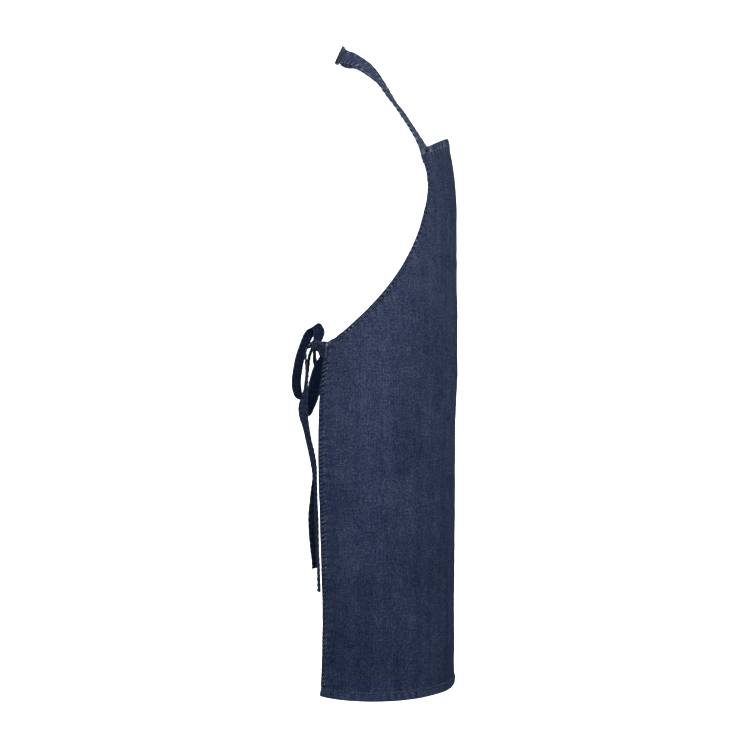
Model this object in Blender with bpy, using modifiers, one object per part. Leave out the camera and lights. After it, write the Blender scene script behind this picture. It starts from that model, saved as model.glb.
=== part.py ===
"""A denim bib apron in the shape it takes on a wearer, tied behind the waist.

Metres, +Z up, +X towards the wearer's front and +Y towards the wearer's left.
The origin is on the inner face of the neck strap, at the middle of the back of the neck.
"""

import math

import bmesh
import bpy
import numpy as np
from mathutils import Vector

# The cut of the cloth
BIB_TOP = -0.1375
HEM = -1.031
HALF_BIB = 0.139
HALF_SKIRT = 0.350
ARMHOLE_START = -0.190
WAIST = -0.474
ARMHOLE_POWER = 1.55
CORNER_DROP = 0.0320  # how far the corners of the bib hang below its middle
DROP_POWER = 1.4
TIE_PULL = 0.0075
TIE_PULL_REACH = 0.06
TIE_PULL_POWER = 5
FRONT_SAG = 0.004
FRONT_SAG_REACH = 0.13
DROP_END = -0.330

# Hems and thicknesses
TOP_HEM = 0.014
ARMHOLE_HEM = 0.008
SIDE_HEM = 0.013
BOTTOM_HEM = 0.016
SEAM_GAP = 0.0006
ARMHOLE_GAP = 0.0030
CLOTH = 0.0016
HEM_CLOTH = 0.0026

# The wearer's shape: height, front, half width, half depth
FORM = (
    (-0.1375, 0.1720, 0.187, 0.1120),
    (-0.2360, 0.1860, 0.194, 0.1160),
    (-0.3860, 0.1873, 0.198, 0.1210),
    (-0.4740, 0.1875, 0.205, 0.1260),
    (-0.5600, 0.1868, 0.212, 0.1370),
    (-0.6800, 0.1858, 0.216, 0.1400),
    (-0.8760, 0.1848, 0.212, 0.1270),
    (-1.0330, 0.1830, 0.204, 0.1227),
)

# Neck strap and slider
STRAP_WIDTH = 0.025
STRAP_CLOTH = 0.0016
STRAP_LEAN = math.radians(25)
TAB_LENGTH = 0.034
TAB_BEHIND = 0.0034
STITCHING_BEHIND = 0.0052
STITCHING_DROP = 0.018
STITCHING_LENGTH = 0.012
STITCHING_INSET = 0.003
TAB_INSET = 0.001
SLIDER_LENGTH = 0.0315
SLIDER_WIDTH = 0.020
SLIDER_THICK = 0.0028
SLIDER_DEPTH = 0.0052
SLOT_LENGTH = 0.0275
SIDE_BAR = 0.003
MIDDLE_BAR = 0.003
SLIDER_ROUNDING = 0.0004
LOOP_CLOTH = 0.0010
FREE_END = -0.0165
FIXED_END = -0.0150
FIXED_DEPTH = 0.0031
STRAP_RISE = 0.009  # how much higher the left half runs over the side of the neck

# Waist ties and bow; thread lies this thick over the cloth
THREAD_LAYER = 0.0008
TIE_WIDTH = 0.022
TIE_CLOTH = 0.0018
BOW_CLOTH = 0.0014
TAIL_END_CLOTH = 0.0024
TAIL_END_LENGTH = 0.010
TAIL_END_GAP = 0.0015
TIE_END_LENGTH = 0.024
TIE_END_BEHIND = 0.0046
TIE_END_INSET = 0.001
TACK_BEHIND = 0.0066
TACK_WIDTH = 0.004
TACK_FROM_EDGE = 0.005
TACK_MARGIN = 0.002
TIE_HEIGHT = -0.489
KNOT = Vector((-0.0490, 0.0, -0.4770))
KNOT_SIZE = (0.016, 0.020, 0.022)

DENIM = (0.030, 0.040, 0.085)
DENIM_PALE = (0.060, 0.075, 0.125)
THREAD = (0.035, 0.045, 0.090)
BLACK_METAL = (0.012, 0.012, 0.013)


def clear_scene():
    for obj in list(bpy.data.objects):
        bpy.data.objects.remove(obj)


def material(name, colour, roughness, metallic=0.0):
    made = bpy.data.materials.new(name)
    made.use_nodes = True
    shader = made.node_tree.nodes["Principled BSDF"]
    shader.inputs["Base Color"].default_value = (*colour, 1.0)
    shader.inputs["Roughness"].default_value = roughness
    shader.inputs["Metallic"].default_value = metallic
    return made


def smooth_through(points, count):
    """Points evenly spaced along a Catmull-Rom curve through rows of numbers."""
    rows = np.array(points, float)
    padded = np.vstack([2 * rows[0] - rows[1], rows, 2 * rows[-1] - rows[-2]])
    fine = []
    for i in range(len(rows) - 1):
        a, b, c, d = padded[i : i + 4]
        for t in np.linspace(0, 1, 12, endpoint=i == len(rows) - 2):
            middle = (c - a) * t + (2 * a - 5 * b + 4 * c - d) * t**2
            fine.append(b + 0.5 * (middle + (3 * b - a - 3 * c + d) * t**3))
    fine = np.array(fine)
    steps = np.linalg.norm(np.diff(fine[:, :3], axis=0), axis=1)
    along = np.concatenate([[0], np.cumsum(steps)])
    at = np.linspace(0, along[-1], count)
    return np.stack([np.interp(at, along, column) for column in fine.T], axis=1)


def form_at(height):
    """Front, half width and half depth of the wearer at a height."""
    rows = np.array(FORM)[::-1]
    smooth = smooth_through(rows, 90)
    return [np.interp(height, smooth[:, 0], smooth[:, k]) for k in (1, 2, 3)]


def wrap(across, height, outward=0.0):
    """Where a point of the flat cloth lies on the wearer: across is its distance from the centre front."""
    front, half_width, half_depth = form_at(height)
    near_tie = math.exp(-(((height - TIE_HEIGHT) / TIE_PULL_REACH) ** 2))
    pull = TIE_PULL * near_tie * abs(across / HALF_SKIRT) ** TIE_PULL_POWER
    flat, across = across, across * (1 - pull / HALF_SKIRT)
    angles = np.linspace(0, math.pi, 181)
    slope = np.hypot(half_width * np.cos(angles), half_depth * np.sin(angles))
    arc = np.concatenate([[0], np.cumsum((slope[1:] + slope[:-1]) / 2 * np.diff(angles))])
    angle = math.copysign(np.interp(abs(across), arc, angles), across)
    normal = Vector((half_width * math.cos(angle), half_depth * math.sin(angle), 0)).normalized()
    fade = min(max((height - DROP_END) / (BIB_TOP - DROP_END), 0.0), 1.0)
    drop = CORNER_DROP * fade**2 * (abs(flat) / HALF_BIB) ** DROP_POWER
    low = min(max((WAIST - height) / (WAIST - HEM), 0.0), 1.0)
    drop += FRONT_SAG * low**2 * math.exp(-((flat / FRONT_SAG_REACH) ** 2))
    depth = front - half_depth * (1 - math.cos(angle))
    return Vector((depth, half_width * math.sin(angle), height - drop)) + normal * outward


def armhole(turn, inset=0.0):
    """(across, height) on the armhole's edge, from the bib at turn 0 to the waist corner at turn 1."""

    def edge(t):
        angle = t * math.pi / 2
        wide = 1 - max(math.cos(angle), 0.0) ** (2 / ARMHOLE_POWER)
        down = math.sin(angle) ** (2 / ARMHOLE_POWER)
        return Vector(
            (HALF_BIB + (HALF_SKIRT - HALF_BIB) * wide, ARMHOLE_START + (WAIST - ARMHOLE_START) * down)
        )

    ahead, behind = edge(min(turn + 0.01, 1.0)), edge(max(turn - 0.01, 0.0))
    direction = (ahead - behind).normalized()
    return edge(turn) + Vector((direction.y, -direction.x)) * inset


def half_cut(height, inset_armhole, inset_side):
    """Half the cloth's width at a height, less the hems."""
    curve = [armhole(t, inset_armhole) for t in np.linspace(0, 1, 80)]
    if height >= curve[0].y:
        return HALF_BIB - inset_armhole
    if height <= curve[-1].y:
        return HALF_SKIRT - inset_side
    heights = [point.y for point in curve][::-1]
    wide = float(np.interp(height, heights, [point.x for point in curve][::-1]))
    return min(wide, HALF_SKIRT - inset_side)


def grid_object(name, columns, rows, place, parts, finish, thickness):
    """A solid sheet: a grid whose points are moved by place(u, v), u from -1 to 1 and v from 0 to 1."""
    mesh = bpy.data.meshes.new(name)
    work = bmesh.new()
    bmesh.ops.create_grid(work, x_segments=columns, y_segments=rows, size=1)
    for vert in work.verts:
        vert.co = place(vert.co.x, (1 - vert.co.y) / 2)
    work.to_mesh(mesh)
    work.free()
    mesh.shade_smooth()
    mesh.materials.append(finish)
    obj = bpy.data.objects.new(name, mesh)
    parts.objects.link(obj)
    shell = obj.modifiers.new("Thickness", "SOLIDIFY")
    shell.thickness = thickness
    shell.offset = 0.0
    return obj


def ribbon(name, points, count, parts, finish, thickness, side=1):
    """A flat band through points, each x, y, z, then the direction of its width, then its width."""
    rows = smooth_through(points, count)
    places = rows[:, :3]
    along = np.gradient(places, axis=0)
    along /= np.linalg.norm(along, axis=1)[:, None]
    across = rows[:, 3:6] - (rows[:, 3:6] * along).sum(1)[:, None] * along
    across /= np.linalg.norm(across, axis=1)[:, None]

    def place(u, v):
        i = round(v * (count - 1))
        found = places[i] + across[i] * u * rows[i, 6] / 2
        return Vector((found[0], side * found[1], found[2]))

    return grid_object(name, 1, count - 1, place, parts, finish, thickness)


def make_panel(parts, finish):
    inset_top = TOP_HEM + SEAM_GAP
    upper = np.linspace(BIB_TOP - inset_top, WAIST - ARMHOLE_HEM - ARMHOLE_GAP, 19)
    lower = np.linspace(WAIST - ARMHOLE_HEM - ARMHOLE_GAP, HEM + BOTTOM_HEM + SEAM_GAP, 13)[1:]
    heights = np.concatenate([upper, lower])

    def place(u, v):
        height = heights[round(v * (len(heights) - 1))]
        half = half_cut(height, ARMHOLE_HEM + ARMHOLE_GAP, SIDE_HEM + SEAM_GAP)
        return wrap(u * half, height)

    return grid_object("apron_panel", 24, len(heights) - 1, place, parts, finish, CLOTH)


def make_hems(parts, finish):
    def top(u, v):
        return wrap(u * HALF_BIB, BIB_TOP - v * TOP_HEM)

    def bottom(u, v):
        return wrap(u * HALF_SKIRT, HEM + BOTTOM_HEM * (1 - v))

    grid_object("bib_top_hem", 12, 1, top, parts, finish, HEM_CLOTH)
    grid_object("bottom_hem", 28, 1, bottom, parts, finish, HEM_CLOTH)
    for name, side in (("left", 1), ("right", -1)):

        def along_armhole(u, v, side=side):
            point = armhole(v, ARMHOLE_HEM * (1 - u) / 2)
            if v == 0:
                point = Vector((HALF_BIB - ARMHOLE_HEM * (1 - u) / 2, BIB_TOP - TOP_HEM - SEAM_GAP))
            return wrap(side * point.x, point.y)

        def along_side(u, v, side=side):
            top_end = WAIST - ARMHOLE_HEM - SEAM_GAP
            height = top_end + (HEM + BOTTOM_HEM + SEAM_GAP - top_end) * v
            return wrap(side * (HALF_SKIRT - SIDE_HEM * (1 - u) / 2), height)

        grid_object(f"armhole_hem_{name}", 1, 18, along_armhole, parts, finish, HEM_CLOTH)
        grid_object(f"side_hem_{name}", 1, 14, along_side, parts, finish, HEM_CLOTH)


def lean(depth, along, across=0.0):
    """A point at the back of the neck: depth out from the inner face, along +Y, across up the strap."""
    inner = Vector((math.cos(STRAP_LEAN), 0, -math.sin(STRAP_LEAN)))
    upward = Vector((math.sin(STRAP_LEAN), 0, math.cos(STRAP_LEAN)))
    return -inner * depth + upward * across + Vector((0, along, 0))


def strap_route(start, depth, rise=0.0):
    """Half the neck strap, drawn on the wearer's left, from the back of the neck to the bib's corner.

    rise lifts it over the side of the neck."""
    up = (math.sin(STRAP_LEAN), 0.0, math.cos(STRAP_LEAN))
    back = [(*lean(depth, start), *up, STRAP_WIDTH)]
    if start < 0:
        back += [(*lean(depth, y), *up, STRAP_WIDTH) for y in (-0.011, 0.0, 0.011, 0.022)]
    else:
        back += [(-0.0023, 0.0200, 0.0011, *up, STRAP_WIDTH), (0.0002, 0.0290, -0.0022, *up, STRAP_WIDTH)]
    return [
        *back,
        (0.0062, 0.0405, -0.0070 + rise * 0.6, 0.34, -0.03, 0.94, STRAP_WIDTH),
        (0.0175, 0.0490, -0.0116 + rise, 0.39, -0.24, 0.89, STRAP_WIDTH),
        (0.0318, 0.0560, -0.0207 + rise, 0.39, -0.59, 0.71, STRAP_WIDTH),
        (0.0438, 0.0630, -0.0298 + rise, 0.32, -0.79, 0.53, STRAP_WIDTH),
        (0.0580, 0.0700, -0.0424 + rise * 0.8, 0.26, -0.91, 0.33, STRAP_WIDTH),
        (0.0706, 0.0780, -0.0586 + rise * 0.5, 0.23, -0.95, 0.24, STRAP_WIDTH),
        (0.0893, 0.0890, -0.0849 + rise * 0.2, 0.20, -0.96, 0.21, STRAP_WIDTH),
        (0.1049, 0.0980, -0.1051, 0.21, -0.96, 0.21, STRAP_WIDTH),
        (0.1199, 0.1080, -0.1284, 0.27, -0.94, 0.20, STRAP_WIDTH),
        (0.1331, 0.1165, -0.1498, 0.36, -0.92, 0.18, STRAP_WIDTH),
        (0.1368, 0.1185, -0.1565, 0.42, -0.89, 0.16, STRAP_WIDTH),
    ]


def make_straps(parts, finish, thread):
    half = STRAP_CLOTH / 2
    ribbon("neck_strap_left", strap_route(FREE_END, half, STRAP_RISE), 40, parts, finish, STRAP_CLOTH)
    right = strap_route(-FIXED_END, FIXED_DEPTH)
    ribbon("neck_strap_right", right, 28, parts, finish, STRAP_CLOTH, side=-1)
    tab_top = BIB_TOP - TAB_INSET
    middle = HALF_BIB - STRAP_WIDTH / 2 - TAB_INSET
    for name, side in (("left", 1), ("right", -1)):

        def tab(u, v, side=side):
            across = side * (middle + u * STRAP_WIDTH / 2)
            return wrap(across, tab_top - v * TAB_LENGTH, -TAB_BEHIND)

        def stitching(u, v, side=side):
            across = side * (middle + u * (STRAP_WIDTH / 2 - STITCHING_INSET))
            return wrap(across, tab_top - STITCHING_DROP - v * STITCHING_LENGTH, -STITCHING_BEHIND)

        grid_object(f"strap_tab_{name}", 2, 3, tab, parts, finish, STRAP_CLOTH)
        grid_object(f"tab_stitching_{name}", 2, 1, stitching, parts, thread, THREAD_LAYER)


def make_slider(parts, cutters, finish, cloth):
    """A flat slide with two slots either side of a middle bar."""
    body = bpy.data.meshes.new("slider")
    work = bmesh.new()
    bmesh.ops.create_cube(work, size=1)
    bmesh.ops.scale(work, vec=(SLIDER_THICK, SLIDER_WIDTH, SLIDER_LENGTH), verts=work.verts)
    work.to_mesh(body)
    work.free()
    body.materials.append(finish)
    slider = bpy.data.objects.new("slider", body)
    parts.objects.link(slider)
    slot_width = (SLIDER_WIDTH - 2 * SIDE_BAR - MIDDLE_BAR) / 2
    for i, side in enumerate((-1, 1)):
        hole = bpy.data.meshes.new(f"slot_{i}")
        work = bmesh.new()
        bmesh.ops.create_cube(work, size=1)
        bmesh.ops.scale(work, vec=(3 * SLIDER_THICK, slot_width, SLOT_LENGTH), verts=work.verts)
        offset = side * (MIDDLE_BAR + slot_width) / 2
        bmesh.ops.translate(work, vec=(0, offset, 0), verts=work.verts)
        work.to_mesh(hole)
        work.free()
        cutter = bpy.data.objects.new(f"slot_{i}", hole)
        cutter.hide_render = True
        cutter.display_type = "WIRE"
        cutter.parent = slider
        cutters.objects.link(cutter)
        cut = slider.modifiers.new(f"Slot {i}", "BOOLEAN")
        cut.object = cutter
        cut.operation = "DIFFERENCE"
    rounding = slider.modifiers.new("Rounding", "BEVEL")
    rounding.width = SLIDER_ROUNDING
    rounding.segments = 1
    slider.location = lean(SLIDER_DEPTH, 0.0)
    slider.rotation_euler = (0, STRAP_LEAN, 0)
    up = (math.sin(STRAP_LEAN), 0.0, math.cos(STRAP_LEAN))
    loop = [(-0.0135, 0.0028), (-0.009, 0.0027), (-0.004, 0.0026), (0.0012, 0.0027), (0.0033, 0.0050)]
    loop += [(0.0012, 0.0074), (-0.0016, 0.0073), (-0.0034, 0.0058)]
    points = [(*lean(depth, along), *up, STRAP_WIDTH) for along, depth in loop]
    ribbon("slider_strap_loop", points, 22, parts, cloth, LOOP_CLOTH)


def make_ties(parts, finish, thread):
    route = [
        (-0.0070, 0.1690, TIE_HEIGHT, 0, 0, 1, TIE_WIDTH),
        (-0.0205, 0.1400, -0.4830, 0, 0, 1, 0.019),
        (-0.0275, 0.1050, -0.4785, 0, 0, 1, 0.015),
        (-0.0335, 0.0700, -0.4760, 0, 0, 1, 0.013),
        (-0.0370, 0.0400, -0.4752, 0, 0, 1, 0.012),
        (-0.0380, 0.0105, -0.4750, 0, 0, 1, 0.011),
    ]
    for name, side in (("left", 1), ("right", -1)):
        ribbon(f"waist_tie_{name}", route, 18, parts, finish, TIE_CLOTH, side)

        def end_tab(u, v, side=side):
            across = side * (HALF_SKIRT - TIE_END_INSET - v * TIE_END_LENGTH)
            return wrap(across, TIE_HEIGHT + u * TIE_WIDTH / 2, -TIE_END_BEHIND)

        def bar_tack(u, v, side=side):
            across = side * (HALF_SKIRT - TACK_FROM_EDGE - v * TACK_WIDTH)
            return wrap(across, TIE_HEIGHT + u * (TIE_WIDTH / 2 - TACK_MARGIN), -TACK_BEHIND)

        grid_object(f"tie_end_{name}", 2, 2, end_tab, parts, finish, TIE_CLOTH)
        grid_object(f"tie_bar_tack_{name}", 2, 1, bar_tack, parts, thread, THREAD_LAYER)


def make_knot(parts, finish):
    mesh = bpy.data.meshes.new("bow_knot")
    work = bmesh.new()
    bmesh.ops.create_cube(work, size=1)
    bmesh.ops.scale(work, vec=KNOT_SIZE, verts=work.verts)
    work.to_mesh(mesh)
    work.free()
    mesh.shade_smooth()
    mesh.materials.append(finish)
    knot = bpy.data.objects.new("bow_knot", mesh)
    parts.objects.link(knot)
    knot.location = KNOT
    soft = knot.modifiers.new("Soft", "SUBSURF")
    soft.levels = 2
    soft.render_levels = 2


def make_bow(parts, finish):
    """Each loop starts and ends beside the knot, and each tail hangs from under it."""
    left = [
        (-0.0475, 0.0135, -0.4655, 0.8, 0.5, 0.0, 0.012),
        (-0.0445, 0.0240, -0.4525, 0.85, 0.5, 0.1, 0.021),
        (-0.0497, 0.0310, -0.4439, 0.3, 0.75, 0.5, 0.020),
        (-0.0611, 0.0340, -0.4522, 0.6, 0.7, 0.3, 0.020),
        (-0.0700, 0.0340, -0.4740, 0.73, 0.66, 0.1, 0.020),
        (-0.0773, 0.0340, -0.4958, 0.73, 0.68, 0.0, 0.020),
        (-0.0817, 0.0340, -0.5176, 0.73, 0.68, 0.0, 0.020),
        (-0.0838, 0.0340, -0.5394, 0.73, 0.68, 0.0, 0.020),
        (-0.0822, 0.0340, -0.5545, 0.7, 0.7, -0.1, 0.020),
        (-0.0782, 0.0330, -0.5654, 0.5, 0.8, -0.3, 0.020),
        (-0.0720, 0.0320, -0.5676, 0.1, 0.95, -0.25, 0.019),
        (-0.0671, 0.0310, -0.5562, -0.1, 1.0, 0.0, 0.018),
        (-0.0654, 0.0290, -0.5260, -0.1, 1.0, 0.0, 0.016),
        (-0.0619, 0.0240, -0.4976, 0.0, 1.0, 0.0, 0.013),
        (-0.0560, 0.0160, -0.4840, 0.4, 0.8, 0.4, 0.010),
    ]
    right = [
        (-0.0465, 0.0135, -0.4900, 0.35, 0.9, 0.0, 0.010),
        (-0.0454, 0.0160, -0.5029, 0.4, 0.9, 0.0, 0.014),
        (-0.0428, 0.0180, -0.5178, 0.4, 0.9, 0.0, 0.017),
        (-0.0446, 0.0190, -0.5375, 0.5, 0.85, 0.0, 0.019),
        (-0.0498, 0.0200, -0.5590, 0.4, 0.9, 0.1, 0.020),
        (-0.0529, 0.0220, -0.5754, 0.3, 0.95, 0.1, 0.020),
        (-0.0533, 0.0265, -0.5852, 0.35, 0.9, 0.1, 0.020),
        (-0.0504, 0.0310, -0.5802, 0.6, 0.75, 0.0, 0.020),
        (-0.0468, 0.0320, -0.5621, 0.93, 0.3, -0.2, 0.0215),
        (-0.0432, 0.0320, -0.5408, 0.97, 0.1, -0.2, 0.022),
        (-0.0393, 0.0310, -0.5227, 0.95, 0.2, -0.25, 0.021),
        (-0.0354, 0.0280, -0.5079, 0.9, 0.3, -0.2, 0.018),
        (-0.0335, 0.0235, -0.4955, 0.7, 0.6, 0.0, 0.013),
        (-0.0375, 0.0180, -0.4870, 0.5, 0.5, 0.5, 0.009),
    ]
    ribbon("bow_loop_left", left, 48, parts, finish, BOW_CLOTH)
    ribbon("bow_loop_right", right, 42, parts, finish, BOW_CLOTH, side=-1)
    long_tail = [
        (-0.0575, 0.0180, -0.4810, 0.25, 0.8, 0.5, 0.010),
        (-0.0588, 0.0300, -0.4870, 0.25, 0.9, 0.3, 0.014),
        (-0.0574, 0.0400, -0.4975, 0.3, 0.95, 0.0, 0.016),
        (-0.0560, 0.0450, -0.5145, 0.3, 0.95, 0.0, 0.018),
        (-0.0554, 0.0475, -0.5375, 0.3, 0.95, 0.0, 0.020),
        (-0.0558, 0.0485, -0.5588, 0.45, 0.9, 0.0, 0.020),
        (-0.0588, 0.0480, -0.5801, 0.75, 0.66, 0.0, 0.020),
        (-0.0585, 0.0450, -0.5982, 0.7, 0.7, 0.0, TIE_WIDTH),
        (-0.0539, 0.0400, -0.6228, 0.55, 0.83, 0.0, TIE_WIDTH),
        (-0.0485, 0.0360, -0.6492, 0.55, 0.83, 0.0, TIE_WIDTH),
        (-0.0443, 0.0330, -0.6722, 0.5, 0.85, 0.0, TIE_WIDTH),
        (-0.0425, 0.0300, -0.7018, 0.35, 0.93, 0.0, TIE_WIDTH),
        (-0.0418, 0.0300, -0.7346, 0.4, 0.92, 0.0, TIE_WIDTH),
        (-0.0405, 0.0300, -0.7724, 0.42, 0.9, 0.0, TIE_WIDTH),
        (-0.0382, 0.0300, -0.8134, 0.38, 0.92, 0.0, TIE_WIDTH),
        (-0.0357, 0.0300, -0.8700, 0.35, 0.93, 0.0, TIE_WIDTH),
    ]
    short_tail = [
        (-0.0560, 0.0060, -0.4900, 0.3, 0.9, 0.0, 0.009),
        (-0.0595, 0.0090, -0.5010, 0.1, 0.98, 0.0, 0.012),
        (-0.0632, 0.0100, -0.5277, 0.0, 1.0, 0.0, 0.015),
        (-0.0657, 0.0100, -0.5543, 0.3, 0.9, 0.0, 0.018),
        (-0.0701, 0.0100, -0.5760, 0.55, 0.83, 0.0, 0.020),
        (-0.0697, 0.0100, -0.5927, 0.5, 0.85, 0.0, 0.021),
        (-0.0650, 0.0100, -0.6110, 0.4, 0.9, 0.0, TIE_WIDTH),
        (-0.0593, 0.0100, -0.6360, 0.35, 0.93, 0.0, TIE_WIDTH),
        (-0.0533, 0.0100, -0.6676, 0.25, 0.95, 0.0, TIE_WIDTH),
        (-0.0502, 0.0100, -0.6975, 0.2, 0.97, 0.0, TIE_WIDTH),
        (-0.0523, 0.0100, -0.7309, 0.4, 0.92, 0.0, TIE_WIDTH),
        (-0.0539, 0.0100, -0.7675, 0.5, 0.85, 0.0, TIE_WIDTH),
        (-0.0523, 0.0100, -0.8058, 0.42, 0.9, 0.0, TIE_WIDTH),
        (-0.0499, 0.0100, -0.8365, 0.3, 0.95, 0.0, TIE_WIDTH),
    ]
    ribbon("tie_tail_right", long_tail, 34, parts, finish, BOW_CLOTH, side=-1)
    ribbon("tie_tail_left", short_tail, 32, parts, finish, BOW_CLOTH)
    tail_end("tail_end_right", long_tail[-1], -1, parts, finish)
    tail_end("tail_end_left", short_tail[-1], 1, parts, finish)


def tail_end(name, row, side, parts, finish):
    """The sewn end of a tail: its last centimetre, folded over."""
    x, y, z, *rest = row
    start = z - TAIL_END_GAP
    points = [(x, y, start, *rest), (x, y, start - TAIL_END_LENGTH, *rest)]
    ribbon(name, points, 3, parts, finish, TAIL_END_CLOTH, side)


def main():
    clear_scene()
    parts = bpy.data.collections.new("bib_apron")
    cutters = bpy.data.collections.new("cutters")
    for collection in (parts, cutters):
        bpy.context.scene.collection.children.link(collection)
    denim = material("denim", DENIM, 0.92)
    hem = material("hem_denim", DENIM_PALE, 0.92)
    strap = material("strap_denim", DENIM_PALE, 0.92)
    tie = material("tie_denim", DENIM, 0.92)
    thread = material("thread", THREAD, 0.8)
    metal = material("slider_metal", BLACK_METAL, 0.4, 0.8)
    make_panel(parts, denim)
    make_hems(parts, hem)
    make_straps(parts, strap, thread)
    make_slider(parts, cutters, metal, strap)
    make_ties(parts, tie, thread)
    make_knot(parts, tie)
    make_bow(parts, tie)


main()
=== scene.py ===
import math

import bmesh
import bpy
import numpy as np
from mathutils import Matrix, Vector, noise


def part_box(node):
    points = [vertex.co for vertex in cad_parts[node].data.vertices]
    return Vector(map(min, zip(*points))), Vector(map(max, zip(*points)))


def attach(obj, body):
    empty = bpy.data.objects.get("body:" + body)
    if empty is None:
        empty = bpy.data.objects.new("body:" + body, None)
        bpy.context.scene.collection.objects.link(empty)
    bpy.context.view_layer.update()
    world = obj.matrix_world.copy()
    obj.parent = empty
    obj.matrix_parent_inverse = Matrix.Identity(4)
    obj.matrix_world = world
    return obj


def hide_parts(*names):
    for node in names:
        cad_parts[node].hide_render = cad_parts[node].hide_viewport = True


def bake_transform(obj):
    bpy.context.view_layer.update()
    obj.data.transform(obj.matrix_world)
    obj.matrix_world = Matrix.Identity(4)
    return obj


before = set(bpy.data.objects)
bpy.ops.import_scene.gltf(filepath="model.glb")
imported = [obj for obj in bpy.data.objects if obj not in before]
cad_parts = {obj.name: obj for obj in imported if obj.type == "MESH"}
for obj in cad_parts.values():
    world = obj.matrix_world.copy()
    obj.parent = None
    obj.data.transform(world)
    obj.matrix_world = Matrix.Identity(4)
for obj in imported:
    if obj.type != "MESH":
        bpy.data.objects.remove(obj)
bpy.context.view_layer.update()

# The cut of the cloth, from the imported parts
BIB_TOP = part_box("bib_top_hem")[1].z
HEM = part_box("bottom_hem")[0].z + 0.004
WAIST = -0.474
HALF_BIB = 0.139
HALF_SKIRT = 0.350
ARMHOLE_START = -0.190
ARMHOLE_POWER = 1.55
CORNER_DROP = 0.0320
DROP_POWER = 1.4
TIE_PULL = 0.0075
TIE_PULL_REACH = 0.06
TIE_PULL_POWER = 5
FRONT_SAG = 0.004
FRONT_SAG_REACH = 0.13
DROP_END = -0.330
TOP_HEM = 0.014
ARMHOLE_HEM = 0.009
SIDE_HEM = 0.013
BOTTOM_HEM = 0.016
TUCK = 0.003
CLOTH = 0.0010

# The wearer's shape: height, front, half width, half depth
FORM = (
    (-0.1375, 0.1720, 0.187, 0.1120),
    (-0.2360, 0.1860, 0.194, 0.1160),
    (-0.3860, 0.1873, 0.198, 0.1210),
    (-0.4740, 0.1875, 0.205, 0.1260),
    (-0.5600, 0.1868, 0.212, 0.1370),
    (-0.6800, 0.1858, 0.216, 0.1400),
    (-0.8760, 0.1848, 0.212, 0.1270),
    (-1.0330, 0.1830, 0.204, 0.1227),
)

STRAP_WIDTH = 0.025
STRAP_LEAN = math.radians(25)
STRAP_RISE = 0.009  # how much higher the left half runs over the side of the neck
FREE_END = -0.0118
FREE_DEPTH = 0.0010
FIXED_END = -0.0130
FIXED_DEPTH = 0.0018
SLIDER_THICK = 0.0044
SLIDER_WIDTH = 0.020
SLIDER_LENGTH = 0.0322
SLIDER_DEPTH = 0.0060
SIDE_BAR = 0.003
END_BAR = 0.002
END_BAR_AT = 0.01475
TIE_WIDTH = 0.022
TIE_HEIGHT = -0.489
KNOT = Vector((-0.0480, 0.0, -0.4770))

# Colours of the washed denim, from its deepest to its palest
DEEP = (0.0030, 0.0060, 0.0165)
INDIGO = (0.0155, 0.0222, 0.0455)
WASHED = (0.0480, 0.0600, 0.0950)
WORN = (0.1700, 0.1950, 0.2550)


# ---------------------------------------------------------------- shape of the wearer


def smooth_through(points, count):
    """Rows evenly spaced along a Catmull-Rom curve through rows of numbers."""
    rows = np.array(points, float)
    padded = np.vstack([2 * rows[0] - rows[1], rows, 2 * rows[-1] - rows[-2]])
    fine = []
    for i in range(len(rows) - 1):
        a, b, c, d = padded[i : i + 4]
        for t in np.linspace(0, 1, 24, endpoint=i == len(rows) - 2):
            middle = (c - a) * t + (2 * a - 5 * b + 4 * c - d) * t**2
            fine.append(b + 0.5 * (middle + (3 * b - a - 3 * c + d) * t**3))
    fine = np.array(fine)
    steps = np.linalg.norm(np.diff(fine[:, :3], axis=0), axis=1)
    along = np.concatenate([[0], np.cumsum(steps)])
    at = np.linspace(0, along[-1], count)
    return np.stack([np.interp(at, along, column) for column in fine.T], axis=1)


FORM_ROWS = smooth_through(np.array(FORM)[::-1], 200)


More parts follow.
